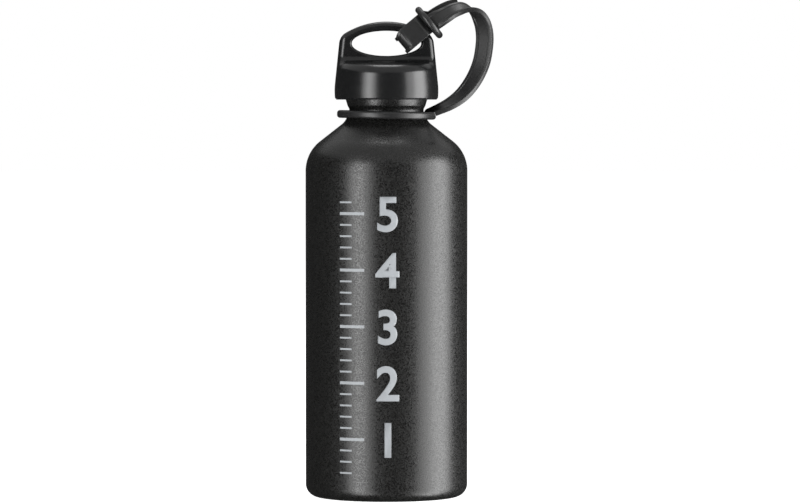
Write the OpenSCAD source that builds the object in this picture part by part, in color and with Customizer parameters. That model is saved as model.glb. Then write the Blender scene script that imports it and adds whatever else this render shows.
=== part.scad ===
// Camping fuel bottle: a drawn aluminium bottle, a press-and-turn cap and a rubber tether.
// Millimetres, +Z up. The origin is on the bottle's axis, in the plane that it stands on.

/* [Bottle] */
// Outer diameter of the straight wall
body_d = 73; // [66:1:82]
// Height at which the straight wall ends and the shoulder begins
wall_h = 147; // [90:1:220]
// Thickness of the drawn wall
wall_t = 0.9; // [0.7:0.1:1.6]
// Thickness of the base inside its standing ring
base_t = 1.2; // [0.9:0.1:2]
// Radius of the heel between wall and base
heel_r = 6.5; // [4:0.5:9]
// Width of the flat ring that the bottle stands on
foot_w = 3; // [2:0.5:6]
// Depth of the dish in the base
dish_h = 3.5; // [2:0.5:6]

/* [Shoulder and neck] */
// Radius of the rounded shoulder
shoulder_r = 17; // [10:1:20]
// Slope of the shoulder, from upright
shoulder_a = 52; // [46:1:58]
// Radius of the sweep from the shoulder into the neck
sweep_r = 7; // [4:0.5:9]
// Diameter of the neck where its taper leaves the sweep
neck_foot_d = 36.2; // [35:0.2:37]
// Slope of the neck's taper, from upright
neck_a = 24; // [18:1:30]
// How far the waist lies inside the foot of the neck
waist_in = 1.5; // [1.2:0.1:1.9]
// Radius of the groove at the waist
waist_r = 2.5; // [1.5:0.5:3]
// Slope of the underside of the collar, from upright
collar_a = 32; // [26:1:38]
// How far the collar, which the ring of the tether snaps over, stands out past the foot of the neck
collar_out = 1; // [0.8:0.1:1.3]
// Radius of the collar's crown
crown_r = 7; // [5:0.5:8]
// Height of the straight part of the collar
collar_h = 2.6; // [2:0.2:5]
// Rounding of the collar's upper edge
lip_r = 1.2; // [0.6:0.2:1.6]
// Diameter of the bore, at the root of its thread
bore_d = 27.8; // [26:0.2:28.4]
// Chamfer at the mouth of the bore
mouth_c = 0.5; // [0.2:0.1:0.8]

/* [Cap] */
// How far the skirt reaches below the mouth of the bottle
skirt_lap = 4.3; // [3.6:0.1:5]
// Clearance between the collar and the skirt around it
skirt_gap = 1.78; // [1.6:0.02:2.4]
// Height of the widest place above the skirt's lower edge
skirt_wide_h = 3.5; // [2:0.5:4]
// Radius of the skirt's barrel shape, seen from the side
barrel_r = 30; // [20:1:50]
// Draft of the cap's sides
cap_a = 5.9; // [4:0.1:7]
// Wall of the cap's moulding
cap_t = 1.95; // [1.6:0.05:2.4]
// Height of the cap's top over the space inside, at its rim before that is rounded
rim_h = 4.4; // [3.6:0.1:6]
// Rounding of the rim between the skirt and the ledges
rim_r = 4; // [2.5:0.1:4.5]
// Slope of the ledges in front of and behind the handle
ledge_a = 5; // [3:1:9]
// Radius of the sweep between a ledge and the handle
ledge_r = 3; // [2:0.2:3.4]
// Height of the web between the ledges and the hole of the handle
web_h = 2.6; // [2.3:0.1:4]
// Thickness of the handle, front to back
handle_t = 8.4; // [7:0.2:9.4]
// Width of the handle's side limbs beside the hole
limb_w = 5.7; // [4.6:0.1:7]
// Height of the arch over the hole
arch_h = 4.1; // [3.4:0.1:5]
// Radius of the arch's top, seen from the front
arch_r = 36; // [32:1:44]
// Room above and below the strap in the hole of the handle
hole_room = 2.3; // [2.1:0.1:3.5]
// Rounding of the handle's outer edges
handle_r = 2.4; // [1.5:0.1:2.6]
// Rounding of the hole's edges
hole_r = 1.2; // [0.8:0.1:1.5]

/* [Inside the cap] */
// Thickness of the gasket on the mouth
gasket_t = 1.3; // [0.8:0.1:2.5]
// Thickness of the plug's flange
flange_t = 1.8; // [1.4:0.1:2.6]
// Height of each clutch lug
lug_h = 1.4; // [1.2:0.1:2]
// Gap between the facing lugs while the cap isn't pressed
lug_gap = 0.4; // [0.3:0.1:0.6]
// Number of lugs on each side of the clutch
lug_n = 8; // [6:1:9]
// Width of a lug, as an angle
lug_a = 16; // [10:1:18]
// Clearance between the lugs and the spring around them
lug_room = 1.58; // [1:0.02:2.5]
// Radial width of the lugs
lug_w = 4.5; // [3:0.5:4.5]
// Length of the plug below the mouth
plug_h = 14; // [10:0.5:18]
// Clearance between the plug and the root of the bore's thread
plug_gap = 0.7; // [0.5:0.1:1]
// Wall of the hollow plug
plug_t = 2.5; // [1.8:0.1:3.5]
// Clearance between the flange and the skirt around it
flange_gap = 0.4; // [0.2:0.1:0.6]
// How far the snap bead of the skirt catches under the flange
snap_w = 0.5; // [0.4:0.1:0.6]
// Height of the snap bead
snap_h = 1.5; // [1:0.1:1.8]
// Clearance between the snap bead and the flange
snap_gap = 0.2; // [0.1:0.1:0.4]
// Thickness of the wave spring's strip
spring_t = 0.4; // [0.3:0.1:0.6]
// Radial width of the wave spring's strip
spring_w = 2.2; // [1.6:0.1:2.4]
// Number of waves around the spring
spring_n = 4; // [3:1:6]

/* [Tether] */
// Clearance between the ring and the foot of the neck
ring_gap = 0.5; // [0.4:0.1:0.8]
// Radial width of the ring
ring_w = 3.7; // [2.5:0.1:4.5]
// Height of the ring
ring_h = 3.5; // [2.5:0.1:3.8]
// Rounding of the ring's edges
ring_r = 1.3; // [0.5:0.1:1.6]
// Width of the strap
strap_w = 8.2; // [6:0.2:8.8]
// Thickness of the strap
strap_t = 1.6; // [1.2:0.1:1.8]
// Width of the part that is looped round the handle
loop_w = 8.8; // [6.4:0.2:9]
// Clearance between the loop and the handle's faces
loop_gap = 0.8; // [0.6:0.1:1.5]
// Diameter of the round keeper
keeper_d = 17.5; // [16:0.5:20]
// Thickness of the keeper
keeper_t = 2.6; // [2:0.1:3]
// Clearance around the strap in the keeper's slots
slot_gap = 0.3; // [0.2:0.1:0.4]

/* [Hidden] */

// Fineness of round forms and steps in each arc of an outline
round_fn = 128;
arc_n = 14;
// Depth by which one form runs into another of its own piece
bite = 0.05;
// Rest gap at each flat end of the wave spring
spring_rest = 0.05;
// Gap between the strap's end and the keeper, which belong to different bodies
strap_end_gap = 0.5;

// Radii of the bottle
body_r = body_d / 2;
bore_r = bore_d / 2;
foot_out = body_r - heel_r;
foot_in = foot_out - foot_w;
neck_foot_r = neck_foot_d / 2;
waist_r_in = neck_foot_r - waist_in;
collar_r = neck_foot_r + collar_out;

// The dish is an arc through the inner edge of the standing ring
dish_r = (foot_in * foot_in + dish_h * dish_h) / (2 * dish_h);
dish_a = asin(foot_in / dish_r);

// The shoulder's arc, its straight slope and the sweep into the neck
arc_end = [body_r - shoulder_r * (1 - cos(shoulder_a)), wall_h + shoulder_r * sin(shoulder_a)];
slope_end_r = neck_foot_r + sweep_r * (cos(neck_a) - cos(shoulder_a));
slope_end_z = arc_end.y + (arc_end.x - slope_end_r) / tan(shoulder_a);
neck_foot_z = slope_end_z + sweep_r * (sin(shoulder_a) - sin(neck_a));

// The waist and the collar above it
taper_end_r = waist_r_in + waist_r * (1 - cos(neck_a));
waist_z = neck_foot_z + (neck_foot_r - taper_end_r) / tan(neck_a) + waist_r * sin(neck_a);
flare_r = waist_r_in + waist_r * (1 - cos(collar_a));
crown_start_r = collar_r - crown_r * (1 - cos(collar_a));
flare_h = (crown_start_r - flare_r) / tan(collar_a);
crown_z = waist_z + waist_r * sin(collar_a) + flare_h + crown_r * sin(collar_a);
mouth_z = crown_z + collar_h;

// Inside of the shoulder, one wall below the outside, up to the bore
slope_in = arc_end - wall_t * [cos(shoulder_a), sin(shoulder_a)];
bore_end_z = slope_in.y + (slope_in.x - bore_r) / tan(shoulder_a);

// Heights of the stack inside the cap
flange_z = mouth_z + gasket_t;
flange_top = flange_z + flange_t;
ceiling_z = flange_top + 2 * lug_h + lug_gap;

// Sides of the cap: a barrel arc below and a straight draft above it, one wall outside the skirt's bore
skirt_z = mouth_z - skirt_lap;
skirt_bore_r = collar_r + skirt_gap;
wide_z = skirt_z + skirt_wide_h;
draft_z = wide_z + barrel_r * sin(cap_a);
draft_r = skirt_bore_r + cap_t + tan(cap_a) * (ceiling_z - draft_z);
skirt_r = draft_r + barrel_r * (1 - cos(cap_a));
function side_r(z) = draft_r - tan(cap_a) * (z - draft_z);
flange_r = skirt_bore_r - flange_gap;

// The plug, the gasket's clearance round it and the spring's distance from the flange's edge
plug_r = bore_r - plug_gap;
gasket_gap = 0.1;
spring_in = 0.7;
spring_out_r = flange_r - spring_in;
lug_r = spring_out_r - spring_w - lug_room - lug_w;

// Ledges, which slope down from the handle to the rim; their planes would meet over the axis
rim_z = ceiling_z + rim_h;
handle_y = handle_t / 2;
ledge_z = rim_z + tan(ledge_a) * (side_r(rim_z) - handle_y);
crest_z = ledge_z + tan(ledge_a) * handle_y;
// Middle height of the sweep's radius, and where the sweep fades out at the sides of the cap
sweep_c = ledge_z + ledge_r * (1 / cos(ledge_a) - tan(ledge_a));
fade_from = 1;
fade_run = 3;
// Middle of the cap's top, which the sweeps cover
core_r = handle_y + ledge_r / 2;
core_low = 0.4;

// The hole of the handle is an ellipse that the looped strap passes through
loop_lean = 40;
hole_b = loop_w * cos(loop_lean) / 2 + hole_room;
hole_z = ledge_z + web_h + hole_b;
hole_a = side_r(hole_z) - limb_w;
top_z = hole_z + hole_b + arch_h;
dome_z = top_z - arch_r;
// Blend length at the handle's upper corners, and the crown across its thickness
corner_k = 1.5;
cross_r = 30;

// Ring of the tether, on the foot of the neck and tilted a little by the strap
ring_in = neck_foot_r + ring_gap;
ring_out = ring_in + ring_w;
ring_sink = 0.2;
ring_z = neck_foot_z + ring_h / 2 - ring_sink;
ring_tilt = 1.2;
// Width and thickness of the strap's root where it leaves the ring
tab_w = strap_w + 0.8;
tab_t = ring_h - 0.2;

// The keeper sits outside the right upper corner of the handle
keeper_out = 3.5;
keeper_up = 9.35;
keeper_x = hole_a + keeper_out;
keeper_z = hole_z + keeper_up;
along = [cos(loop_lean), 0, sin(loop_lean)];
across = [-sin(loop_lean), 0, cos(loop_lean)];
// Distance from the keeper's middle to the middle of the strap in the fold, and the fold's corners
fold_u = 14.9;
fold_r = 3.5;
// Depth of the keeper's slots and of the legs beside the handle, and the run from one to the other
slot_y = 3.3;
leg_y = handle_y + loop_gap + strap_t / 2;
leg_run = 3.4;
leg_n = 7;
// How deep in the ring the free strap starts, how far below the middle of its slot it ends,
// and how far it runs straight out of the slot
root_in = 1.8;
root_low = 0.4;
strap_end_low = 0.6;
strap_straight = 3.25;

// Route of the free strap: distance from the axis, depth, height over the ring and twist
ARCH = [
    [20.5, 0, -0.4, 0],
    [27.5, 0, 3.25, 2],
    [33, 0, 6.7, 15],
    [37.95, 0, 12.2, 38],
    [41.45, -0.5, 19.3, 50],
    [43.6, -1, 27.4, 53],
    [44.3, -1, 34.5, 50],
    [42.65, -1, 41.6, 35],
    [38.85, -1.4, 47.1, 2],
    [33.35, -2, 48.8, -38],
    [27.35, -2.8, 46.8, -60],
    [23.05, -3.3, 44, -74]
];
// Route of the tail behind the free strap, from the keeper to its end
TAIL = [[3, 0.15, 3.3], [7, -0.3, 3.2], [11, -1.7, 3.1], [14, -3.6, 3]];

// Points on an arc about a centre, from one angle to another
function arc(c, r, a0, a1, n = arc_n) =
    [for (i = [0 : n]) let (a = a0 + (a1 - a0) * i / n) c + r * [cos(a), sin(a)]];

// Point on a smooth curve through a list of points, and the curve in equal steps of its spans
function spline_at(p, i, f) =
    let (a = p[max(i - 1, 0)], b = p[i], c = p[i + 1], d = p[min(i + 2, len(p) - 1)])
    b + ((c - a) * f + (2 * a - 5 * b + 4 * c - d) * f ^ 2 + (3 * b - a - 3 * c + d) * f ^ 3) / 2;
function spline(p, n) =
    [for (i = [0 : len(p) - 2], k = [0 : n - 1]) spline_at(p, i, k / n), p[len(p) - 1]];

// Least of two lengths with a soft change between them
function soft_min(a, b, k) = let (h = max(k - abs(a - b), 0) / k) min(a, b) - h * h * k / 4;

// Direction of a route at one of its points
function heading(p, i) =
    let (a = p[max(i - 1, 0)], b = p[min(i + 1, len(p) - 1)], d = [b.x - a.x, b.y - a.y, b.z - a.z])
    d / norm(d);

// Cross-section of a flat strap with eased corners
function strap_ring(c, wide, thick, w, t) =
    let (e = min(0.4, t / 4))
    [for (s = [[1, 1], [1, -1], [-1, -1], [-1, 1]], k = [0, 1])
        let (first = (s.x * s.y > 0) == (k == 0))
        c + wide * s.x * (w / 2 - (first ? e : 0)) + thick * s.y * (t / 2 - (first ? 0 : e))];

// Sections of a strap along a route whose fourth value is the twist about its own direction
function strap_rings(p, w, t) =
    [for (i = [0 : len(p) - 1])
        let (d = heading(p, i), side = cross(d, [0, 1, 0]), u = side / norm(side), y = cross(u, d))
        let (wide = cos(p[i][3]) * y + sin(p[i][3]) * u, thick = cross(wide, d))
        strap_ring([p[i].x, p[i].y, p[i].z], wide, thick, w, t)];

// Closed surface through a row of rings, with flat ends or joined end to end
module skin(rings, looped = false) {
    n = len(rings[0]);
    m = len(rings);
    sides = [for (i = [0 : m - (looped ? 1 : 2)], j = [0 : n - 1], k = [0, 1])
        let (a = i * n + j, b = i * n + (j + 1) % n, s = ((i + 1) % m) * n)
        k == 0 ? [a, s + (j + 1) % n, b] : [a, s + j, s + (j + 1) % n]];
    ends = looped ? [] : [[for (j = [0 : n - 1]) j], [for (j = [n - 1 : -1 : 0]) (m - 1) * n + j]];
    polyhedron([for (ring = rings) each ring], concat(sides, ends), convexity = 6);
}

// Drawn bottle: outside from the dish up to the mouth, then down the bore and the inside
module bottle() {
    dish_c = [0, dish_h - dish_r];
    heel_c = [foot_out, heel_r];
    shoulder_c = [body_r - shoulder_r, wall_h];
    sweep_c = [slope_end_r, slope_end_z] + sweep_r * [cos(shoulder_a), sin(shoulder_a)];
    outside = concat(
        arc(dish_c, dish_r, 90, 90 - dish_a),
        arc(heel_c, heel_r, -90, 0),
        arc(shoulder_c, shoulder_r, 0, shoulder_a),
        arc(sweep_c, sweep_r, 180 + shoulder_a, 180 + neck_a),
        arc([waist_r_in + waist_r, waist_z], waist_r, 180 + neck_a, 180 - collar_a),
        arc([collar_r - crown_r, crown_z], crown_r, -collar_a, 0),
        arc([collar_r - lip_r, mouth_z - lip_r], lip_r, 0, 90, 6)
    );
    bore = [[bore_r + mouth_c, mouth_z], [bore_r, mouth_z - mouth_c], [bore_r, bore_end_z]];
    inside = concat(
        arc(shoulder_c, shoulder_r - wall_t, shoulder_a, 0),
        arc(heel_c, heel_r - wall_t, 0, -90),
        arc(dish_c, dish_r + base_t, 90 - dish_a, 90)
    );
    color("#2b2b2d") rotate_extrude($fn = round_fn) polygon(concat(outside, bore, inside));
}

// Place in the loop's own directions: distance out along the strap, across it, and in depth
function loop_point(u, v, y) = [keeper_x, y, keeper_z] + u * along + v * across;

// Ends of the strap's arch in the ring and before the keeper, which carry the route between them
strap_foot = [ring_out - root_in, 0, ring_z - root_low];
strap_head = loop_point(keeper_t / 2 + strap_straight, -strap_end_low, -slot_y);
arch_last = len(ARCH) - 1;
function arch_point(i) =
    let (f = i / arch_last, p = ARCH[i], foot = ARCH[0], head = ARCH[arch_last])
    let (c = [p.x, p.y, p.z] + (1 - f) * (strap_foot - [foot.x, foot.y, foot.z])
        + f * (strap_head - [head.x, head.y, head.z]))
    [c.x, c.y, c.z, p[3]];

strap_end = let (c = loop_point(keeper_t / 2 + strap_end_gap, -strap_end_low, -slot_y))
    [c.x, c.y, c.z, -80];
arch_route = spline(concat([for (i = [0 : arch_last]) arch_point(i)], [strap_end]), 4);
arch_rings = strap_rings(arch_route, strap_w, strap_t);
// The first span belongs to the ring, as the thickening at the root of the strap
root_n = 4;

// Rubber ring round the neck, with the thick root of the strap on its right
module tether_ring() {
    h = ring_h / 2;
    corners = [[ring_in, -h], [ring_out, -h], [ring_out, h], [ring_in, h]];
    turns = [[1, 1], [-1, 1], [-1, -1], [1, -1]];
    outline = [for (i = [0 : 3]) each arc(corners[i] + ring_r * turns[i], ring_r,
        180 + 90 * i, 270 + 90 * i, 5)];
    color("#3a3a3c") {
        translate([0, 0, ring_z]) rotate([0, ring_tilt, 0])
            rotate_extrude($fn = round_fn) polygon(outline);
        skin([for (i = [0 : root_n])
            let (f = i / root_n, section = strap_rings(arch_route, tab_w + (strap_w - tab_w) * f,
                tab_t + (strap_t - tab_t) * sqrt(f)))
            section[i]]);
    }
}

// Free strap from the root to the keeper
module tether_strap() {
    color("#3a3a3c") skin([for (i = [root_n : len(arch_rings) - 1]) arch_rings[i]]);
}

// Half of the way round the handle, from the keeper to the fold, in distance and depth
loop_half = concat(
    [[-keeper_t / 2, slot_y], [keeper_t / 2, slot_y]],
    [for (i = [1 : leg_n]) let (f = i / leg_n)
        [keeper_t / 2 + leg_run * f, slot_y + (leg_y - slot_y) * (3 - 2 * f) * f * f]],
    arc([fold_u - fold_r, leg_y - fold_r], fold_r, 90, 0, 7)
);

// Strap looped round the handle, folded in its hole, with the tail behind the free strap
module tether_loop() {
    n = len(loop_half);
    around = concat([for (p = loop_half) [p.x, -p.y]], [for (i = [n - 1 : -1 : 0]) loop_half[i]]);
    route = [for (p = around) loop_point(-p.x, 0, p.y)];
    rings = [for (i = [0 : len(route) - 1])
        strap_ring(route[i], across, cross(across, heading(route, i)), loop_w, strap_t)];
    tail_route = spline(concat([loop_point(keeper_t / 2, 0, slot_y)],
        [for (p = TAIL) loop_point(p[0], p[1], p[2])]), 3);
    tail = [for (i = [1 : len(tail_route) - 1])
        let (d = heading(tail_route, i), wide = cross([0, 1, 0], d))
        strap_ring(tail_route[i], -wide / norm(wide), -cross(wide, d) / norm(wide), strap_w, strap_t)];
    color("#3a3a3c") skin(concat(rings, tail));
}

// Round keeper with two slots, square to the strap
module tether_keeper() {
    rim = keeper_t / 3;
    edge = [keeper_d / 2 - rim, keeper_t / 2 - rim];
    outline = concat([[0, -keeper_t / 2]], arc([edge.x, -edge.y], rim, -90, 0, 5),
        arc(edge, rim, 0, 90, 5), [[0, keeper_t / 2]]);
    slot = [loop_w + 2 * slot_gap, strap_t + 2 * slot_gap, keeper_t + 2];
    color("#3a3a3c") translate([keeper_x, 0, keeper_z]) rotate([0, 90 - loop_lean, 0])
        difference() {
            rotate_extrude($fn = 64) polygon(outline);
            for (s = [-1, 1]) translate([0, s * slot_y, 0]) cube(slot, center = true);
        }
}

// Flat gasket between the mouth and the flange
module neck_gasket() {
    inner_r = plug_r + gasket_gap;
    color("#1d1d1d") translate([0, 0, mouth_z]) difference() {
        cylinder(r = collar_r - lip_r, h = gasket_t, $fn = round_fn);
        translate([0, 0, -1]) cylinder(r = inner_r, h = gasket_t + 2, $fn = round_fn);
    }
}

// Ring of clutch lugs that stand on a plane
module lugs(turn) {
    for (i = [0 : lug_n - 1]) rotate([0, 0, turn + i * 360 / lug_n - lug_a / 2])
        rotate_extrude(angle = lug_a, $fn = round_fn) translate([lug_r, -bite]) square([lug_w, lug_h + bite]);
}

// Plug that screws into the neck, with its flange and the lower half of the clutch
module cap_core() {
    end_z = mouth_z - plug_h;
    ease = 0.6;
    outline = [
        [0, flange_z], [plug_r - plug_t, flange_z], [plug_r - plug_t, end_z],
        [plug_r - ease, end_z], [plug_r, end_z + ease], [plug_r, flange_z],
        [flange_r, flange_z], [flange_r, flange_top - ease], [flange_r - ease, flange_top], [0, flange_top]
    ];
    color("#1b1b1c") {
        rotate_extrude($fn = round_fn) polygon(outline);
        translate([0, 0, flange_top]) lugs(0);
    }
}

// Wave spring that holds the shell of the cap up
module press_spring() {
    low = flange_top + spring_rest;
    swing = (ceiling_z - flange_top - 2 * spring_rest - spring_t) / 2;
    outer = spring_out_r;
    steps = 24 * spring_n;
    color("silver") skin([for (i = [0 : steps - 1])
        let (a = -i * 360 / steps, z = low + swing * (1 - cos(a * spring_n)))
        [for (p = [[outer, 0], [outer, spring_t], [outer - spring_w, spring_t], [outer - spring_w, 0]])
            [p.x * cos(a), p.x * sin(a), z + p.y]]], looped = true);
}

// Fall of a ledge along a line out from the axis, and the middle of the rim's rounding there
function rim_fall(turn) = atan(tan(ledge_a) * abs(sin(turn)));
function rim_c(turn) =
    let (f = rim_fall(turn))
    let (a = draft_r * cos(cap_a) + draft_z * sin(cap_a) - rim_r, b = crest_z * cos(f) - rim_r)
    [a * cos(f) - b * sin(cap_a), b * cos(cap_a) - a * sin(f)] / cos(cap_a + f);

// Lowest place of the rounding, the tuck of the top into the skirt, and the handle's root in it
rim_low = rim_c(90).y + rim_r * sin(cap_a);
rim_tuck = 1;
root_z = rim_low - 2;

// Section of the cap's top on one side of the axis: drafted side, rounding and ledge
function rim_ring(turn) =
    let (f = rim_fall(turn))
    let (outline = concat([[core_r, rim_low - rim_tuck], [side_r(rim_low) - rim_tuck, rim_low - rim_tuck],
        [side_r(rim_low) - bite / 2, rim_low - 2 * bite]],
        arc(rim_c(turn), rim_r, cap_a, 90 - f, 6), [[core_r, crest_z - tan(f) * core_r]]))
    [for (p = outline) [p.x * cos(turn), p.x * sin(turn), p.y]];

// What the sweep to the ledges adds to half the thickness of the handle at one place
function sweep_y(x, z) =
    let (h = min(max((sweep_c - z) / ledge_r, 0), cos(ledge_a)))
    let (f = min(max((side_r(z) - abs(x) - fade_from) / fade_run, 0), 1))
    ledge_r * (1 - sqrt(1 - h * h)) * f * f * (3 - 2 * f);

// Way from the hole's edge to the handle's outline, along a direction square to the hole's edge
function handle_reach(q, n) =
    let (m = q - [0, dome_z], b = m * n)
    let (to_dome = sqrt(b * b - m * m + arch_r * arch_r) - b)
    let (slant = abs(n.x) + tan(cap_a) * n.y)
    let (to_side = slant > 0.01 ? (side_r(q.y) - abs(q.x)) / slant : 1000)
    let (to_root = n.y < -0.01 ? (root_z - q.y) / n.y : 1000)
    min(soft_min(to_dome, to_side, corner_k), to_root);

// Section of the handle at one angle round its hole, with rounded edges, a slight crown and sweeps
face_steps = [0, 0.07, 0.15, 0.25, 0.4, 0.65, 1];
function handle_ring(angle) =
    let (t = atan2(hole_b * sin(angle), hole_a * cos(angle)))
    let (q = [hole_a * cos(t), hole_z + hole_b * sin(t)], n = [cos(angle), sin(angle)])
    let (s = handle_reach(q, n), inner = hole_r, outer = handle_r)
    let (face = [for (i = [1 : len(face_steps) - 2]) inner + (s - inner - outer) * face_steps[i]])
    let (outline = concat(
        arc([inner, inner - handle_y], inner, 180, 270, 4),
        [for (d = face) [d, -handle_y]],
        arc([s - outer, outer - handle_y], outer, 270, 360, 4),
        arc([s - outer, handle_y - outer], outer, 0, 90, 4),
        [for (i = [len(face) - 1 : -1 : 0]) [face[i], handle_y]],
        arc([inner, handle_y - inner], inner, 90, 180, 4)))
    [for (p = outline)
        let (d = p.x - p.y * p.y / (2 * cross_r) * p.x / s, x = q.x + d * n.x, z = q.y + d * n.y)
        [x, p.y * (1 + sweep_y(x, z) / handle_y), z]];

// Outer shell of the cap: skirt, ledges, handle, snap bead and the upper half of the clutch
module cap_shell() {
    edge = 0.4;
    low_a = asin((skirt_wide_h - edge) / barrel_r);
    outline = concat([[0, skirt_z], [side_r(draft_z) - edge, skirt_z]],
        arc([skirt_r - barrel_r, wide_z], barrel_r, -low_a, cap_a),
        [[side_r(rim_low - bite), rim_low - bite], [core_r + bite, rim_low - bite],
            [core_r + bite, ledge_z - core_low], [0, ledge_z - core_low]]);
    snap_top = flange_z - snap_gap;
    snap_in = flange_r - snap_w;
    snap_root = skirt_bore_r + bite;
    lead = snap_h / 4;
    bead = [[snap_root, snap_top], [snap_in, snap_top - lead / 2],
        [snap_in, snap_top - snap_h + 2 * lead], [snap_root, snap_top - snap_h]];
    color("#161617") {
        difference() {
            union() {
                rotate_extrude($fn = round_fn) polygon(outline);
                skin([for (a = [355 : -5 : 0]) rim_ring(a)], looped = true);
                skin([for (a = [0 : 6 : 354]) handle_ring(a)], looped = true);
            }
            translate([0, 0, skirt_z - 1]) cylinder(r = skirt_bore_r, h = ceiling_z - skirt_z + 1, $fn = round_fn);
        }
        rotate_extrude($fn = round_fn) polygon(bead);
        translate([0, 0, ceiling_z]) mirror([0, 0, 1]) lugs(180 / lug_n);
    }
}

bottle();
tether_ring();
tether_strap();
tether_loop();
tether_keeper();
neck_gasket();
cap_core();
press_spring();
cap_shell();
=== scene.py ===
# Camping fuel bottle, dressed: a powder-coated bottle, a press-and-turn cap and a rubber tether.
# Metres, +Z up. The origin is on the bottle's axis, in the plane that it stands on.
from math import asin, cos, pi, radians, sin, sqrt, tan

import bpy
import numpy as np
from mathutils import Matrix, Vector


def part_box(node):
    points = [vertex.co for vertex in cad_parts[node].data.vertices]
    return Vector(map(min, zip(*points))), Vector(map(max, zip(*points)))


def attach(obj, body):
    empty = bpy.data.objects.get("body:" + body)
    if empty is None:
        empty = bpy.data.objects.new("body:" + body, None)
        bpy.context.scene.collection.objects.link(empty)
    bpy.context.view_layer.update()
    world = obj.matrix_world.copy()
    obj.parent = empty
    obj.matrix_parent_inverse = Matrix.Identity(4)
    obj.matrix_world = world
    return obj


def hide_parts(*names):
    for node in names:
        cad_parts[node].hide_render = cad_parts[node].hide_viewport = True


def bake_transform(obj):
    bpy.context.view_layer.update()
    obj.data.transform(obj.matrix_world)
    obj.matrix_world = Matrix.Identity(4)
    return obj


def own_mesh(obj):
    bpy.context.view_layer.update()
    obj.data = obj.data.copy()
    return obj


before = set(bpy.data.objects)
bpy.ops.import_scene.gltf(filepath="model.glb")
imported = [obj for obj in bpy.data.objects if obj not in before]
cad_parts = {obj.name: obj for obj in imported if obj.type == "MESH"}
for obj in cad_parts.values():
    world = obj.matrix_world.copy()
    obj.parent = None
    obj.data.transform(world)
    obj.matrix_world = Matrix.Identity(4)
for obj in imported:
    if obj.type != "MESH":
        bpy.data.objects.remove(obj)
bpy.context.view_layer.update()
MM = 0.001

# Camera. It stands level with the neck, two metres off, with a long lens, and looks a little down
# on the middle of the bottle. The view's width is measured at the bottle.
camera_away = 2050 * MM
camera_height = 180 * MM
view_width = 361 * MM
view_centre = Vector((6.1 * MM, 0, 110.6 * MM))
bpy.ops.object.select_all(action="DESELECT")
bpy.ops.object.camera_add(location=(0, -camera_away, camera_height))
camera = bpy.context.object
camera.data.lens = camera.data.sensor_width * camera_away / view_width
camera.rotation_euler = (view_centre - camera.location).to_track_quat("-Z", "Y").to_euler()
bpy.context.scene.camera = camera

# Bottle. One aluminium slug, drawn to a thin straight wall, necked in at the shoulder and dished
# at the base. A black powder coat with a fine sandy grain covers its outside up to the mouth.
body_r = 36.5 * MM
wall_h = 147 * MM
wall_t = 0.9 * MM
base_t = 1.2 * MM
heel_r = 5.6 * MM
foot_w = 3 * MM
dish_h = 3.5 * MM
shoulder_r = 17 * MM
shoulder_a = 52
sweep_r = 7 * MM
neck_foot_r = 18.1 * MM
neck_a = 24
waist_in = 16.75 * MM
waist_r = 2.5 * MM
flare_a = 28
band_a = 17
collar_r = 19.1 * MM
bend_r = 2 * MM
collar_h = 2.15 * MM
mouth_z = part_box("neck_gasket")[0].z
lip_r = 1.2 * MM
bore_r = 13.9 * MM
mouth_c = 0.5 * MM
foot_out = body_r - heel_r
foot_in = foot_out - foot_w
dish_r = (foot_in**2 + dish_h**2) / (2 * dish_h)
dish_a = asin(foot_in / dish_r) * 180 / pi


def cosd(angle):
    return cos(radians(angle))


def sind(angle):
    return sin(radians(angle))


def tand(angle):
    return tan(radians(angle))


slope_end_r = neck_foot_r + sweep_r * (cosd(neck_a) - cosd(shoulder_a))
arc_end = (body_r - shoulder_r * (1 - cosd(shoulder_a)), wall_h + shoulder_r * sind(shoulder_a))
slope_end_z = arc_end[1] + (arc_end[0] - slope_end_r) / tand(shoulder_a)
neck_foot_z = slope_end_z + sweep_r * (sind(shoulder_a) - sind(neck_a))
taper_end_r = waist_in + waist_r * (1 - cosd(neck_a))
waist_z = neck_foot_z + (neck_foot_r - taper_end_r) / tand(neck_a) + waist_r * sind(neck_a)
band_top = (collar_r - bend_r, mouth_z - collar_h)
flare_foot = (waist_in + waist_r - (waist_r + bend_r) * cosd(flare_a),
    waist_z + (waist_r + bend_r) * sind(flare_a))
flare_w = ((band_top[0] - flare_foot[0]) * cosd(band_a)
    - (band_top[1] - flare_foot[1]) * sind(band_a)) / sind(flare_a - band_a)
band_low = (flare_foot[0] + flare_w * sind(flare_a), flare_foot[1] + flare_w * cosd(flare_a))
slope_in = (arc_end[0] - wall_t * cosd(shoulder_a), arc_end[1] - wall_t * sind(shoulder_a))
bore_end_z = slope_in[1] + (slope_in[0] - bore_r) / tand(shoulder_a)


def arc(centre, radius, start, end, steps=14):
    """Points on an arc about a centre, from one angle to another."""
    angles = [start + (end - start) * i / steps for i in range(steps + 1)]
    return [(centre[0] + radius * cosd(a), centre[1] + radius * sind(a)) for a in angles]


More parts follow.
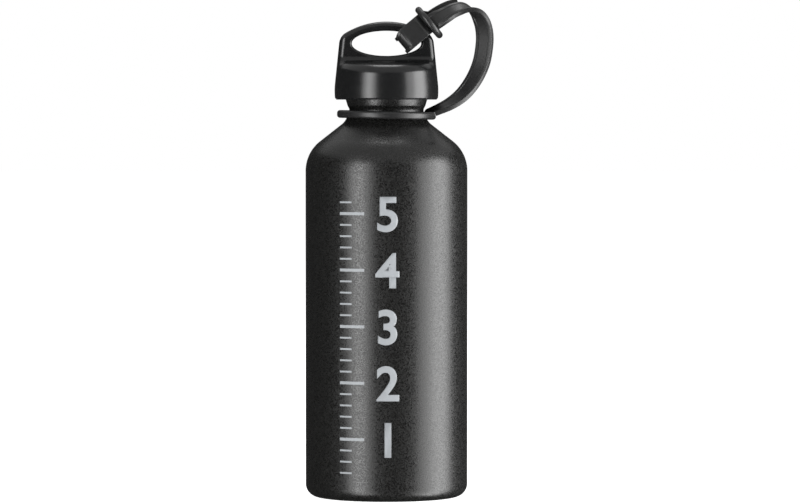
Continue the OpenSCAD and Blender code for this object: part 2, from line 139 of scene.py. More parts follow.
def turned(name, outline, steps=256, smooth=35):
    """A piece turned on a lathe: an outline of radius and height, spun round the upright axis."""
    bpy.ops.object.select_all(action="DESELECT")
    bpy.ops.mesh.primitive_plane_add(size=MM, location=(outline[0][0], 0, outline[0][1]))
    piece = bpy.context.object
    piece.name = piece.data.name = name
    bpy.ops.object.transform_apply(location=True)
    bpy.ops.object.mode_set(mode="EDIT")
    bpy.ops.mesh.select_all(action="SELECT")
    bpy.ops.mesh.merge(type="CENTER")
    for (r0, z0), (r1, z1) in zip(outline, outline[1:]):
        bpy.ops.mesh.extrude_region_move(TRANSFORM_OT_translate={"value": (r1 - r0, 0, z1 - z0)})
    bpy.ops.mesh.select_all(action="SELECT")
    bpy.ops.mesh.spin(steps=steps, angle=2 * pi, center=(0, 0, 0), axis=(0, 0, 1))
    bpy.ops.mesh.select_all(action="SELECT")
    bpy.ops.mesh.remove_doubles(threshold=MM / 1000)
    bpy.ops.mesh.normals_make_consistent(inside=False)
    bpy.ops.object.mode_set(mode="OBJECT")
    bpy.ops.object.shade_smooth_by_angle(angle=radians(smooth))
    return piece


heel_c = (foot_out, heel_r)
shoulder_c = (body_r - shoulder_r, wall_h)
sweep_c = (slope_end_r + sweep_r * cosd(shoulder_a), slope_end_z + sweep_r * sind(shoulder_a))
bottle = turned("bottle_shell", [
    *arc((0, dish_h - dish_r), dish_r, 90, 90 - dish_a),
    *arc(heel_c, heel_r, -90, 0),
    *[(body_r, heel_r + (wall_h - heel_r) * i / 8) for i in range(1, 8)],
    *arc(shoulder_c, shoulder_r, 0, shoulder_a),
    *arc(sweep_c, sweep_r, 180 + shoulder_a, 180 + neck_a),
    *arc((waist_in + waist_r, waist_z), waist_r, 180 + neck_a, 180 - flare_a),
    *arc(band_low, bend_r, -flare_a, -band_a, 5),
    *arc(band_top, bend_r, -band_a, 0, 5),
    *arc((collar_r - lip_r, mouth_z - lip_r), lip_r, 0, 90, 6),
    (bore_r + mouth_c, mouth_z), (bore_r, mouth_z - mouth_c), (bore_r, bore_end_z),
    *arc(shoulder_c, shoulder_r - wall_t, shoulder_a, 0),
    *arc(heel_c, heel_r - wall_t, 0, -90),
    *arc((0, dish_h - dish_r), dish_r + base_t, 90 - dish_a, 90),
])


def grain_group():
    """Grain of a surface, as height and tone: small grains with a tone each, over soft waves."""
    group = bpy.data.node_groups.new("surface_grain", "ShaderNodeTree")
    for name, value in (("Grain per metre", 1500.0), ("Coarse share", 0.5)):
        socket = group.interface.new_socket(name, in_out="INPUT", socket_type="NodeSocketFloat")
        socket.default_value = value
    for name in ("Height", "Tone"):
        group.interface.new_socket(name, in_out="OUTPUT", socket_type="NodeSocketFloat")
    nodes, links = group.nodes, group.links
    given, out = nodes.new("NodeGroupInput"), nodes.new("NodeGroupOutput")
    place = nodes.new("ShaderNodeTexCoord")
    grains, waves = nodes.new("ShaderNodeTexVoronoi"), nodes.new("ShaderNodeTexNoise")
    grains.feature = "SMOOTH_F1"
    grains.inputs["Smoothness"].default_value = 0.3
    waves.inputs["Detail"].default_value = 1.5
    slower = nodes.new("ShaderNodeMath")
    slower.operation = "MULTIPLY"
    slower.inputs[1].default_value = 0.45
    links.new(given.outputs["Grain per metre"], slower.inputs[0])
    scales = (grains, given.outputs["Grain per metre"]), (waves, slower.outputs["Value"])
    for texture, scale in scales:
        links.new(place.outputs["Object"], texture.inputs["Vector"])
        links.new(scale, texture.inputs["Scale"])
    for name, grain in (("Height", "Distance"), ("Tone", "Color")):
        both = nodes.new("ShaderNodeMix")
        links.new(given.outputs["Coarse share"], both.inputs["Factor"])
        links.new(grains.outputs[grain], both.inputs["A"])
        links.new(waves.outputs["Fac"], both.inputs["B"])
        links.new(both.outputs["Result"], out.inputs[name])
    return group


surface_grain = grain_group()


def finish(name, dark, light, smooth, rough, grain, coarse, bump):
    """A material whose colour and roughness run between two values with the tone of its grain."""
    material = bpy.data.materials.new(name)
    material.use_nodes = True
    nodes, links = material.node_tree.nodes, material.node_tree.links
    shader = nodes["Principled BSDF"]
    texture = nodes.new("ShaderNodeGroup")
    texture.node_tree = surface_grain
    texture.inputs["Grain per metre"].default_value = grain
    texture.inputs["Coarse share"].default_value = coarse
    colour = nodes.new("ShaderNodeMix")
    colour.data_type = "RGBA"
    colour.inputs["A"].default_value = (*dark, 1)
    colour.inputs["B"].default_value = (*light, 1)
    gloss = nodes.new("ShaderNodeMapRange")
    gloss.inputs["To Min"].default_value = smooth
    gloss.inputs["To Max"].default_value = rough
    relief = nodes.new("ShaderNodeBump")
    relief.inputs["Distance"].default_value = bump
    relief.inputs["Strength"].default_value = 1.0
    links.new(texture.outputs["Tone"], colour.inputs["Factor"])
    links.new(texture.outputs["Tone"], gloss.inputs["Value"])
    links.new(texture.outputs["Height"], relief.inputs["Height"])
    links.new(colour.outputs["Result"], shader.inputs["Base Color"])
    links.new(gloss.outputs["Result"], shader.inputs["Roughness"])
    links.new(relief.outputs["Normal"], shader.inputs["Normal"])
    return material


def dressed(piece, material):
    """A piece with this one material."""
    piece.data.materials.clear()
    piece.data.materials.append(material)


powder_coat = finish("powder_coat", (0.002, 0.002, 0.0019), (0.011, 0.011, 0.0105), 0.1, 0.54,
    2500, 0.12, 0.03 * MM)
dressed(bottle, powder_coat)
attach(bottle, "bottle")
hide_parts("bottle")

# Fill scale. It is screen printed on the coat in light grey ink: a stroke and a numeral at each
# tenth of a litre, and short strokes between them. The ink is a film of a few hundredths of a
# millimetre, which is sunk a little into the coat.
ink_t = 0.05 * MM
ink_sink = 0.03 * MM
inside_area = pi * (body_r - wall_t) ** 2
tenth_volume = 1e-4
tenth_h = tenth_volume / inside_area
scale_foot_z = base_t + dish_h * 0.5
tenths = 5
strokes_a_tenth = 5
first_stroke = 2
numeral_x = 0.6 * MM
numeral_h = 15 * MM
type_size = numeral_h * 1.43
type_bold = 0.45 * MM
stroke_x = -22 * MM
long_stroke, short_stroke = 12 * MM, 6 * MM
stroke_w = 1.3 * MM
thin_share = 0.6
cut_w = 1.0 * MM
cuts = 26


def wrapped(piece):
    """A flat drawing in the plane of X and Z, cut into narrow strips and laid round the wall."""
    bpy.context.view_layer.objects.active = piece
    bpy.ops.object.mode_set(mode="EDIT")
    for i in range(-cuts, cuts + 1):
        bpy.ops.mesh.select_all(action="SELECT")
        bpy.ops.mesh.bisect(plane_co=(i * cut_w, 0, 0), plane_no=(1, 0, 0))
    bpy.ops.object.mode_set(mode="OBJECT")
    wrap_r = body_r - ink_sink
    for vertex in piece.data.vertices:
        around = vertex.co.x / wrap_r
        vertex.co = (wrap_r * sin(around), -wrap_r * cos(around), vertex.co.z)
    film = piece.modifiers.new("film", "SOLIDIFY")
    film.thickness = ink_t + ink_sink
    film.offset = 1
    bpy.ops.object.modifier_apply(modifier="film")


drawn = []
for tenth in range(1, tenths + 1):
    z = scale_foot_z + tenth * tenth_h
    bpy.ops.object.select_all(action="DESELECT")
    bpy.ops.object.text_add(location=(numeral_x, 0, z - numeral_h * 0.5), rotation=(pi / 2, 0, 0))
    numeral = bpy.context.object
    numeral.data.body = str(tenth)
    numeral.data.size = type_size
    numeral.data.offset = type_bold
    numeral.data.align_x = "CENTER"
    numeral.data.resolution_u = 6
    bpy.ops.object.convert(target="MESH")
    bpy.ops.object.transform_apply(location=True, rotation=True, scale=True)
    drawn.append(bpy.context.object)
for step in range(first_stroke, tenths * strokes_a_tenth + first_stroke):
    tenth_mark = step % strokes_a_tenth == 0
    length = long_stroke if tenth_mark else short_stroke
    z = scale_foot_z + step * tenth_h / strokes_a_tenth
    bpy.ops.object.select_all(action="DESELECT")
    bpy.ops.mesh.primitive_plane_add(size=1, location=(stroke_x + length / 2, 0, z),
        rotation=(pi / 2, 0, 0))
    stroke = bpy.context.object
    stroke.scale = (length, stroke_w if tenth_mark else stroke_w * thin_share, 1)
    bpy.ops.object.transform_apply(location=True, rotation=True, scale=True)
    drawn.append(stroke)
bpy.ops.object.select_all(action="DESELECT")
for piece in drawn:
    piece.select_set(True)
bpy.context.view_layer.objects.active = drawn[0]
bpy.ops.object.join()
fill_scale = bpy.context.object
fill_scale.name = fill_scale.data.name = "fill_scale"
bpy.ops.object.mode_set(mode="EDIT")
bpy.ops.mesh.select_all(action="SELECT")
bpy.ops.mesh.remove_doubles(threshold=MM / 1000)
bpy.ops.object.mode_set(mode="OBJECT")
wrapped(fill_scale)
printed_ink = finish("printed_ink", (0.25, 0.265, 0.28), (0.29, 0.305, 0.32), 0.42, 0.55,
    1700, 0.5, 0.02 * MM)
dressed(fill_scale, printed_ink)
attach(fill_scale, "bottle")

# Plug and thread. The plug is a matt black moulding, the CAD's own piece with a material. Its coarse
# thread is moulded on it, and runs in one that is rolled into the bore of the neck. Each is a ridge
# wound round its wall.
thread_pitch = 3.2 * MM
thread_turns = 3
plug_r = 13.2 * MM
ridge_w = 1.3 * MM
crest_w = 0.7 * MM
ridge_h = 0.45 * MM
root_h = 0.2 * MM
thread_low = mouth_z - 12.6 * MM
thread_offset = 1.2 * MM


def wound_ridge(name, root_r, crest_r, z):
    """A ridge wound upwards as a right-hand thread, from its radius at the root and the crest."""
    bpy.ops.object.select_all(action="DESELECT")
    bpy.ops.mesh.primitive_plane_add(size=1)
    ridge = bpy.context.object
    ridge.name = ridge.data.name = name
    corners = ((root_r, z - ridge_w / 2), (crest_r, z - crest_w / 2),
        (root_r, z + ridge_w / 2), (crest_r, z + crest_w / 2))
    for vertex, (radius, height) in zip(ridge.data.vertices, corners):
        vertex.co = (radius, 0, height)
    bpy.ops.object.mode_set(mode="EDIT")
    bpy.ops.mesh.select_all(action="SELECT")
    bpy.ops.mesh.delete(type="ONLY_FACE")
    bpy.ops.object.mode_set(mode="OBJECT")
    winding = ridge.modifiers.new("winding", "SCREW")
    winding.screw_offset = thread_pitch
    winding.iterations = thread_turns
    winding.steps = winding.render_steps = 72
    bpy.ops.object.modifier_apply(modifier="winding")
    bpy.ops.object.mode_set(mode="EDIT")
    bpy.ops.mesh.select_all(action="SELECT")
    bpy.ops.mesh.fill_holes(sides=0)
    bpy.ops.mesh.select_all(action="SELECT")
    bpy.ops.mesh.normals_make_consistent(inside=False)
    bpy.ops.object.mode_set(mode="OBJECT")
    bpy.ops.object.shade_smooth_by_angle(angle=radians(30))
    return ridge


plug_thread = wound_ridge("plug_thread", plug_r - root_h, plug_r + ridge_h, thread_low)
neck_thread = wound_ridge("neck_thread", bore_r + root_h, bore_r - ridge_h, thread_low + thread_offset)
plug_plastic = finish("plug_plastic", (0.014, 0.014, 0.015), (0.022, 0.022, 0.023), 0.42, 0.55,
    2500, 0.3, 0.01 * MM)
dressed(plug_thread, plug_plastic)
dressed(neck_thread, powder_coat)
dressed(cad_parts["cap_core"], plug_plastic)
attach(plug_thread, "core")
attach(neck_thread, "bottle")

# Gasket. A flat ring of black rubber between the mouth and the plug's flange. It seals the bottle,
# and is the CAD's own piece with a material.
gasket_rubber = finish("gasket_rubber", (0.012, 0.012, 0.012), (0.02, 0.02, 0.02), 0.55, 0.7,
    1800, 0.4, 0.02 * MM)
dressed(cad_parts["neck_gasket"], gasket_rubber)

# Wave spring. A flat steel strip in a ring with four waves, which lies on the plug's flange and
# holds the shell up until a hand presses it down.
gasket_t = 1.3 * MM
flange_t = 1.8 * MM
lug_h = 1.4 * MM
lug_gap = 0.4 * MM
spring_rest = 0.05 * MM
spring_t = 0.4 * MM
spring_w = 2.2 * MM
spring_waves = 4
flange_z = mouth_z + gasket_t
flange_top = flange_z + flange_t
ceiling_z = flange_top + 2 * lug_h + lug_gap
spring_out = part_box("press_spring")[1].x
spring_low = flange_top + spring_rest
spring_swing = (ceiling_z - flange_top - 2 * spring_rest - spring_t) / 2
wave_spring = turned("wave_spring", [
    (spring_out, spring_low), (spring_out, spring_low + spring_t),
    (spring_out - spring_w, spring_low + spring_t), (spring_out - spring_w, spring_low),
    (spring_out, spring_low),
], 192)
for vertex in wave_spring.data.vertices:
    turn = Vector((vertex.co.x, vertex.co.y)).angle_signed(Vector((1, 0)))
    vertex.co.z += spring_swing * (1 - cos(turn * spring_waves))
spring_steel = finish("spring_steel", (0.50, 0.50, 0.50), (0.62, 0.62, 0.62), 0.22, 0.35,
    900, 0.5, 0.005 * MM)
spring_steel.node_tree.nodes["Principled BSDF"].inputs["Metallic"].default_value = 1
dressed(wave_spring, spring_steel)
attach(wave_spring, "core")
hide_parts("press_spring")
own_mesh(wave_spring)

# Cap shell. One moulding of glossy black plastic: a barrel-shaped skirt, two ledges that slope down
# from the handle to the skirt, and a hoop handle round an elliptical hole. It snaps over the flange.
skirt_z = mouth_z - 4.8 * MM
skirt_bore_r = collar_r + 1.78 * MM
wide_z = skirt_z + 4 * MM
barrel_r = 30 * MM
cap_a = 5.9
cap_t = 1.95 * MM
rim_h = 4.4 * MM
rim_r = 4 * MM
ledge_a = 5
ledge_r = 3 * MM
web_h = 2.6 * MM
handle_y = 4.2 * MM
limb_w = 5.7 * MM
arch_h = 4.1 * MM
arch_r = 36 * MM
loop_w = 8.8 * MM
loop_lean = 40
handle_r = 2.4 * MM
hole_edge_r = 1.2 * MM
corner_r = 2 * MM
foot_edge_r = 0.3 * MM
shell_voxel = 0.32 * MM
settle_rounds = 12
settle_max = 0.3 * MM
probe = 0.01 * MM
draft_z = wide_z + barrel_r * sind(cap_a)
draft_r = skirt_bore_r + cap_t + tand(cap_a) * (ceiling_z - draft_z)
skirt_r = draft_r + barrel_r * (1 - cosd(cap_a))


def side_r(z):
    """Radius of the cap's drafted side at a height."""
    return draft_r - tand(cap_a) * (z - draft_z)


rim_z = ceiling_z + rim_h
ledge_z = rim_z + tand(ledge_a) * (side_r(rim_z) - handle_y)
hole_b = loop_w * cosd(loop_lean) / 2 + 2.3 * MM
hole_z = ledge_z + web_h + hole_b
hole_a = side_r(hole_z) - limb_w
top_z = hole_z + hole_b + arch_h
dome_z = top_z - arch_r


def round_cut(a, b, radius):
    """Distance from what two forms share, with the edge between them rounded."""
    outside = np.hypot(np.maximum(a + radius, 0), np.maximum(b + radius, 0))
    return np.minimum(np.maximum(a, b), -radius) + outside


def sweep_join(a, b, radius):
    """Distance from two forms joined, with a sweep of that radius in the corner between them."""
    inside = np.hypot(np.maximum(radius - a, 0), np.maximum(radius - b, 0))
    return np.maximum(np.minimum(a, b), radius) - inside


def cap_form(points):
    """Distance of points from the shell's surface, below zero inside the plastic."""
    x, y, z = points.T
    out = np.hypot(x, y)
    barrel = np.hypot(out - skirt_r + barrel_r, z - wide_z) - barrel_r
    draft = (out - draft_r) * cosd(cap_a) + (z - draft_z) * sind(cap_a)
    side = np.where(z < draft_z, barrel, draft)
    ledge = (z - ledge_z) * cosd(ledge_a) + (np.abs(y) - handle_y) * sind(ledge_a)
    form = sweep_join(ledge, np.abs(y) - handle_y, ledge_r)
    dome = np.hypot(x, z - dome_z) - arch_r
    up = np.clip((z - ledge_z + ledge_r) / (2 * ledge_r), 0, 1)
    form = round_cut(form, round_cut(side, dome, corner_r),
        rim_r + (handle_r - rim_r) * up * up * (3 - 2 * up))
    share = np.hypot(x / hole_a, (z - hole_z) / hole_b)
    slope = np.hypot(x / hole_a**2, (z - hole_z) / hole_b**2) / np.maximum(share, 0.01)
    form = round_cut(form, (1 - share) / np.maximum(slope, 1), hole_edge_r)
    form = round_cut(form, skirt_z - z, foot_edge_r)
    bore = np.maximum(out - skirt_bore_r, z - ceiling_z)
    return round_cut(form, -bore, foot_edge_r)


def combined(piece, tool, operation):
    """A piece joined to, cut by or kept within another, which is used up."""
    cut = piece.modifiers.new("cut", "BOOLEAN")
    cut.object = tool
    cut.operation = operation
    cut.solver = "EXACT"
    bpy.context.view_layer.objects.active = piece
    bpy.ops.object.modifier_apply(modifier="cut")
    bpy.data.objects.remove(tool)
    return piece


def block(size, location):
    """A box, to be joined to a piece or cut from it."""
    bpy.ops.object.select_all(action="DESELECT")
    bpy.ops.mesh.primitive_cube_add(size=1, location=location)
    piece = bpy.context.object
    piece.scale = size
    bpy.ops.object.transform_apply(location=True, rotation=True, scale=True)
    return piece


def rod(radius, depth, location, lying=False, shape=(1, 1, 1)):
    """A round bar, upright or lying along Y."""
    bpy.ops.object.select_all(action="DESELECT")
    bpy.ops.mesh.primitive_cylinder_add(vertices=128, radius=radius, depth=depth, location=location,
        rotation=(pi / 2 if lying else 0, 0, 0))
    piece = bpy.context.object
    piece.scale = shape
    bpy.ops.object.transform_apply(location=True, rotation=True, scale=True)
    return piece


def remeshed(piece, voxel):
    """The piece's surface made anew from small squares of one size."""
    squares = piece.modifiers.new("squares", "REMESH")
    squares.mode = "VOXEL"
    squares.voxel_size = voxel
    bpy.context.view_layer.objects.active = piece
    bpy.ops.object.modifier_apply(modifier="squares")
    return piece


shell = turned("cap_shell_moulding", [
    (0, skirt_z), (skirt_r - MM, skirt_z), (skirt_r, wide_z), (draft_r, draft_z),
    (side_r(ledge_z + ledge_r), ledge_z + ledge_r), (0, ledge_z + ledge_r),
], 128)
for side in (-1, 1):
    bpy.ops.object.mode_set(mode="EDIT")
    bpy.ops.mesh.select_all(action="SELECT")
    bpy.ops.mesh.bisect(plane_co=(0, side * handle_y, ledge_z),
        plane_no=(0, side * sind(ledge_a), cosd(ledge_a)), use_fill=True, clear_outer=True)
    bpy.ops.object.mode_set(mode="OBJECT")
slab = block((2 * side_r(ledge_z), 2 * handle_y, top_z - ledge_z + web_h),
    (0, 0, (top_z + ledge_z - web_h) / 2))
combined(slab, rod(arch_r, 6 * handle_y, (0, 0, dome_z), lying=True), "INTERSECT")
hole_bar = rod(1, 6 * handle_y, (0, 0, hole_z), lying=True, shape=(hole_a, hole_b, 1))
combined(slab, hole_bar, "DIFFERENCE")
combined(shell, slab, "UNION")
bore_h = ceiling_z - skirt_z + 2 * MM
combined(shell, rod(skirt_bore_r, bore_h, (0, 0, ceiling_z - bore_h / 2)), "DIFFERENCE")
remeshed(shell, shell_voxel)
points = np.empty(len(shell.data.vertices) * 3)
shell.data.vertices.foreach_get("co", points)
points = points.reshape(-1, 3)
for _ in range(settle_rounds):
    depth = cap_form(points)
    slope = np.stack([cap_form(points + step) - cap_form(points - step)
        for step in probe * np.eye(3)], axis=1) / (2 * probe)
    steep = np.maximum((slope**2).sum(1), 0.25)
    points -= np.clip(depth / steep, -settle_max, settle_max)[:, None] * slope
shell.data.vertices.foreach_set("co", points.ravel())
shell.data.update()
bpy.ops.object.shade_smooth_by_angle(angle=radians(60))
cap_plastic = finish("cap_plastic", (0.005, 0.0052, 0.0054), (0.008, 0.0082, 0.0084), 0.20, 0.27,
    900, 0.6, 0.004 * MM)
dressed(shell, cap_plastic)
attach(shell, "shell")
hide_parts("cap_shell")

# Tether. One moulding of dark grey rubber: a ring that is stretched over the collar, and a flat
# strap that leaves it through a thick root and arches over to the keeper at the handle.
ring_in = neck_foot_r + 0.5 * MM
ring_out = ring_in + 3.7 * MM
ring_h = 3.5 * MM
ring_r = 1.3 * MM
ring_z = neck_foot_z + ring_h / 2 - 0.2 * MM
ring_tilt = 1.2
strap_w = 8.2 * MM
strap_t = 2 * MM
rim_t = 2.4 * MM
rim_w = 1.5 * MM
rim_slope = 0.3 * MM
edge_r = 0.3 * MM
keeper_t = 2.6 * MM
keeper_d = 17.5 * MM
slot_y = 3.3 * MM
keeper_at = Vector((hole_a + 3.5 * MM, 0, hole_z + 9.35 * MM))
along = Vector((cosd(loop_lean), 0, sind(loop_lean)))
across = Vector((-sind(loop_lean), 0, cosd(loop_lean)))
# Along the strap: distance from the axis, depth, height over the ring and twist, in millimetres
# and degrees
arch_stations = [
    (17.6, 0, 0.1, 15),
    (23.9, 0, 2.7, 21),
    (29.1, 0, 5.3, 29),
    (33.8, 0, 8.8, 38),
    (37.6, -0.2, 13.2, 46),
    (40.6, -0.4, 18.2, 51.5),
    (42.8, -0.6, 23.7, 57),
    (43.9, -0.8, 29.4, 58),
    (44.3, -1, 35.2, 57),
    (43.5, -1.1, 40.5, 50),
    (41.6, -1.3, 44.4, 36),
    (38.9, -1.5, 46.9, 10),
    (36.2, -1.8, 48, -14),
    (33.2, -2.1, 48, -32),
    (29.7, -2.5, 46.8, -40),
    (26.6, -2.9, 45, -47),
]


def loop_point(u, v, y):
    """Place in the loop's own directions: out along the strap, across it, and in depth."""
    return keeper_at + u * along + v * across + Vector((0, y, 0))


def smooth_route(points, steps):
    """A smooth curve through points, in equal steps of each span."""
    p = [np.array(points[0])] + [np.array(q) for q in points] + [np.array(points[-1])]
    route = []
    for a, b, c, d in zip(p, p[1:], p[2:], p[3:]):
        for f in (j / steps for j in range(steps)):
            route.append(b + ((c - a) * f + (2 * a - 5 * b + 4 * c - d) * f**2
                + (3 * b - a - 3 * c + d) * f**3) / 2)
    return route + [p[-1]]


def eased(route, rounds):
    """The same route with its small kinks taken out; both ends stay."""
    for _ in range(rounds):
        inner = [(a + 2 * b + c) / 4 for a, b, c in zip(route, route[1:], route[2:])]
        route = [route[0]] + inner + [route[-1]]
    return route


def strap_section(centre, wide, thick, w, front, back, web):
    """Cross-section with a raised rim along both edges, which stands out by its own height each way."""
    rows = []
    for side, face in ((1, front), (-1, back)):
        rows.append([(w / 2 - edge_r + edge_r * sind(a), side * (face - edge_r + edge_r * cosd(a)))
            for a in range(90, -1, -15)]
            + [(w / 2 - rim_w, side * face), (w / 2 - rim_w - rim_slope, side * web / 2)])
    front_row, back_row = rows
    outline = front_row + [(-a, b) for a, b in front_row[::-1]]
    outline += [(-a, b) for a, b in back_row] + back_row[::-1]
    return [centre + wide * a + thick * b for a, b in outline + outline[:1]]


def laid_strap(name, sections):
    """A strap from a flat grid, whose rows are wrapped into one cross-section after another."""
    rows, columns = len(sections), len(sections[0])
    bpy.ops.object.select_all(action="DESELECT")
    bpy.ops.mesh.primitive_grid_add(x_subdivisions=columns - 1, y_subdivisions=rows - 1, size=1)
    piece = bpy.context.object
    piece.name = piece.data.name = name
    for vertex, place in zip(piece.data.vertices, [p for section in sections for p in section]):
        vertex.co = place
    bpy.ops.object.mode_set(mode="EDIT")
    bpy.ops.mesh.select_all(action="SELECT")
    bpy.ops.mesh.remove_doubles(threshold=MM / 1000)
    bpy.ops.mesh.fill_holes(sides=0)
    bpy.ops.mesh.select_all(action="SELECT")
    bpy.ops.mesh.normals_make_consistent(inside=False)
    bpy.ops.object.mode_set(mode="OBJECT")
    bpy.ops.object.shade_smooth_by_angle(angle=radians(20))
    return piece


def route_sections(route, size):
    """Sections along a route whose fourth value is the twist. The size is a function of the share."""
    sections = []
    for i, p in enumerate(route):
        before, after = route[max(i - 1, 0)], route[min(i + 1, len(route) - 1)]
        ahead = Vector(after[:3] - before[:3]).normalized()
        up = ahead.cross(Vector((0, 1, 0))).normalized()
        level = up.cross(ahead)
        wide = cosd(p[3]) * level + sind(p[3]) * up
        share = i / (len(route) - 1)
        sections.append(strap_section(Vector(p[:3]), wide, wide.cross(ahead), *size(share)))
    return sections


# The last two stations: just before the keeper, and in the middle of its front slot
head = loop_point(keeper_t / 2 + 3 * MM, -1.5 * MM, -slot_y)
slot_end = loop_point(0, -0.8 * MM, -slot_y)
arch_points = [(MM * x, MM * y, ring_z + MM * z, twist) for x, y, z, twist in arch_stations]
arch_route = eased(smooth_route(arch_points + [(*head, -60), (*slot_end, -82)], 12), 8)
root_share = 0.02


def strap_size(share):
    """Width, rims in front and behind, and web. The strap swells out of the ring at its root."""
    swell = sqrt(1 - max(1 - share / root_share, 0) ** 2)
    rim, web = rim_t * (0.4 + 0.6 * swell), strap_t * (0.4 + 0.6 * swell)
    return strap_w * (0.85 + 0.15 * swell), rim / 2, rim / 2, web


tether = laid_strap("tether_moulding", route_sections(arch_route, strap_size))
ring_corners = [(ring_in, -1, 1), (ring_out, -1, -1), (ring_out, 1, -1), (ring_in, 1, 1)]
ring_outline = []
for i, (r, up, inward) in enumerate(ring_corners):
    corner = (r + inward * ring_r, ring_z + up * (ring_h / 2 - ring_r))
    ring_outline += arc(corner, ring_r, 180 + 90 * i, 270 + 90 * i, 8)
ring = turned("tether_ring_moulding", ring_outline + ring_outline[:1], 160)
bpy.ops.object.mode_set(mode="EDIT")
bpy.ops.mesh.select_all(action="SELECT")
bpy.ops.transform.rotate(value=radians(-ring_tilt), orient_axis="Y", center_override=(0, 0, ring_z))
bpy.ops.object.mode_set(mode="OBJECT")
combined(tether, ring, "UNION")
bpy.ops.object.shade_smooth_by_angle(angle=radians(20))
tether_rubber = finish("tether_rubber", (0.009, 0.009, 0.0092), (0.015, 0.015, 0.0152), 0.3, 0.42,
    1400, 0.5, 0.012 * MM)
dressed(tether, tether_rubber)
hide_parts("tether_ring", "tether_strap")
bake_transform(tether)

# Looped end. The same strap goes through the keeper, round the handle's limb inside the hole, and
# back through the keeper, where its tail lies behind the free strap.
fold_u = 14.9 * MM
fold_r = 3.5 * MM
fold_up = 0.8 * MM
leg_gap = 0.8 * MM
leg_y = handle_y + leg_gap + strap_t / 2
leg_run = 3.4 * MM
fold_rim = 0.65 * MM
tail_taper = 2.4 * MM
# The fold's raised rims end so many sections from its middle, and fade over so many
rim_end, rim_fade = 14, 6
half = [(-keeper_t / 2, slot_y), (keeper_t / 2, slot_y)]
half += [(keeper_t / 2 + leg_run * f, slot_y + (leg_y - slot_y) * (3 - 2 * f) * f * f)
    for f in (i / 10 for i in range(1, 11))]
half += [(keeper_t / 2 + leg_run + (fold_u - fold_r - keeper_t / 2 - leg_run) * f, leg_y)
    for f in (i / 8 for i in range(1, 8))]
half += arc((fold_u - fold_r, leg_y - fold_r), fold_r, 90, 0, 12)
half += [(fold_u, (leg_y - fold_r) * f) for f in (0.66, 0.33)]
around = [(u, -y) for u, y in half] + [(fold_u, 0)] + half[::-1]
# Along the tail: out, across and depth, in millimetres
tail_stations = [(3, 0.3, 3.3), (7.5, -0.1, 3.3), (11, -0.8, 3.2), (13.2, -1.5, 3.1), (15.4, -2.5, 3)]
tail = smooth_route([tuple(loop_point(keeper_t / 2, 0, slot_y))]
    + [tuple(loop_point(u * MM, v * MM, y * MM)) for u, v, y in tail_stations], 6)


def leg_lift(u, y):
    """The legs lie a little high. In the fold the strap comes down, clear of the pressed handle."""
    if u < fold_u - fold_r:
        return fold_up
    return fold_up * min(max((abs(y) - handle_y) / (leg_y - handle_y), 0), 1)


loop_route = [np.array(loop_point(-u, leg_lift(u, y), y)) for u, y in around] + tail[1:]
loop_sections = []
for i, p in enumerate(loop_route):
    before, after = loop_route[max(i - 1, 0)], loop_route[min(i + 1, len(loop_route) - 1)]
    ahead = Vector(after - before).normalized()
    past = i - len(around)
    if past < 0:
        wide, w = across, loop_w + 2 * leg_lift(*around[i])
    else:
        wide = ahead.cross(Vector((0, 1, 0))).normalized()
        w = strap_w - tail_taper * past / len(tail[1:])
    if wide.dot(across) < 0:
        wide = -wide
    from_fold = abs(i - (len(around) - 1) / 2)
    rise = min(max((rim_end - from_fold) / rim_fade, 0), 1)
    loop_sections.append(strap_section(Vector(p), wide, wide.cross(ahead), w,
        strap_t / 2 + fold_rim * rise, strap_t / 2, strap_t))
loop = laid_strap("tether_looped_end", loop_sections)
dressed(loop, tether_rubber)
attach(loop, "core")
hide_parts("tether_loop")

# Keeper. A round rubber button with two slots, pushed over both legs of the strap so that the
# loop can't open.
button_t = 3 * MM
parting_h = 0.12 * MM
button_edge = button_t / 2 - parting_h
slot_t = rim_t + 0.4 * MM
slot_w = loop_w + 2 * fold_up + MM
keeper = turned("round_keeper", [
    (0, -button_t / 2),
    *arc((keeper_d / 2 - button_edge, -parting_h), button_edge, -90, 0, 8),
    (keeper_d / 2 + parting_h, 0),
    *arc((keeper_d / 2 - button_edge, parting_h), button_edge, 0, 90, 8),
    (0, button_t / 2),
], 96)
for side in (-1, 1):
    combined(keeper, block((slot_w, slot_t, 2 * keeper_t), (-fold_up, side * slot_y, 0)), "DIFFERENCE")
keeper.data.transform(Matrix.Translation(keeper_at) @ Matrix.Rotation(radians(90 - loop_lean), 4, "Y"))
dressed(keeper, tether_rubber)
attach(keeper, "core")
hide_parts("tether_keeper")

# Studio. A pale floor, a white surround, a tall softbox with a narrow lamp in it on each side, and
# two dim ones overhead. The floor and the surround look white to the camera and light little.
floor_r = 9.0
surround_light = 0.035


def for_camera(tree, socket, lit, shown):
    """One value of a strength where the camera looks, and another for the light that it gives."""
    seen = tree.nodes.new("ShaderNodeLightPath")
    level = tree.nodes.new("ShaderNodeMapRange")
    level.inputs["To Min"].default_value = lit
    level.inputs["To Max"].default_value = shown
    tree.links.new(seen.outputs["Is Camera Ray"], level.inputs["Value"])
    tree.links.new(level.outputs["Result"], socket)


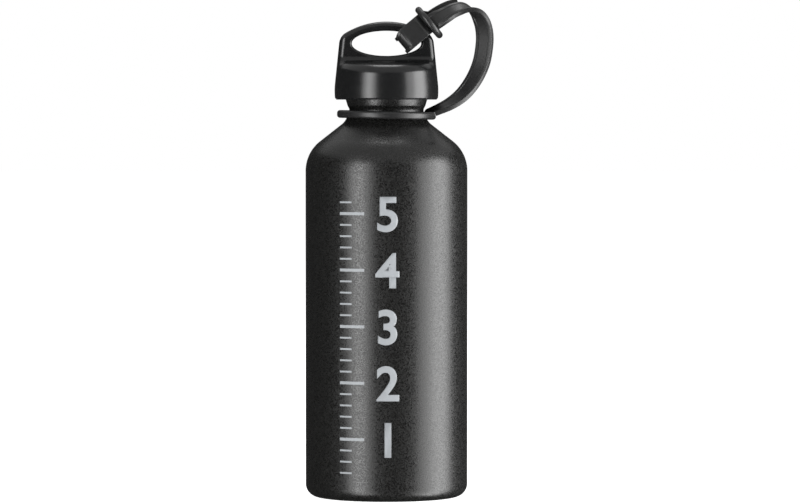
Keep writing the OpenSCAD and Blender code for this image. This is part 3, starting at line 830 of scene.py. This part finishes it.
bpy.ops.object.select_all(action="DESELECT")
bpy.ops.mesh.primitive_circle_add(vertices=96, radius=floor_r, fill_type="NGON", location=(0, 0, 0))
floor = bpy.context.object
floor.name = "floor"
floor.visible_glossy = False
floor.visible_shadow = False
pale = bpy.data.materials.new("pale_floor")
pale.use_nodes = True
paint = pale.node_tree.nodes["Principled BSDF"]
paint.inputs["Base Color"].default_value = (0.86, 0.86, 0.86, 1)
paint.inputs["Roughness"].default_value = 0.8
paint.inputs["Specular IOR Level"].default_value = 0.1
paint.inputs["Emission Color"].default_value = (1, 1, 1, 1)
for_camera(pale.node_tree, paint.inputs["Emission Strength"], 0.0, 1.0)
dressed(floor, pale)
world = bpy.data.worlds.new("surround")
bpy.context.scene.world = world
world.use_nodes = True
surround = world.node_tree.nodes["Background"]
surround.inputs["Color"].default_value = (1, 1, 1, 1)
for_camera(world.node_tree, surround.inputs["Strength"], surround_light, 1.0)


def softbox(name, place, aim, size, brightness):
    """A soft panel of even brightness, which the camera doesn't see."""
    bpy.ops.object.select_all(action="DESELECT")
    bpy.ops.object.light_add(type="AREA", location=place)
    light = bpy.context.object
    light.name = name
    light.data.shape = "RECTANGLE"
    light.data.size, light.data.size_y = size
    light.data.energy = brightness * pi * size[0] * size[1]
    light.visible_camera = False
    light.rotation_euler = (Vector(aim) - Vector(place)).to_track_quat("-Z", "Y").to_euler()


panel_low, panel_top = -1.1, 0.64
panel_mid, panel_h = (panel_low + panel_top) / 2, panel_top - panel_low
# Turn from the camera's side, distance, half of the width as an angle, and brightness
for name, turn, away, spread, brightness in (
    ("left_softbox", -39, 1.01, 15.5, 4), ("left_lamp", -39, 1, 6.5, 3.9),
    ("right_softbox", 73, 0.91, 28, 3.9), ("right_lamp", 79, 0.9, 14, 4.1),
):
    softbox(name, (away * sind(turn), -away * cosd(turn), panel_mid), (0, 0, panel_mid),
        (2 * away * tand(spread), panel_h), brightness)
softbox("top_softbox", (0, 0.36, 1.3), (0, 0, 0.15), (0.45, 0.45), 4)
softbox("ceiling", (0, 0, 1.6), (0, 0, 0), (4.8, 4.8), 0.55)
bpy.context.scene.view_settings.view_transform = "Standard"
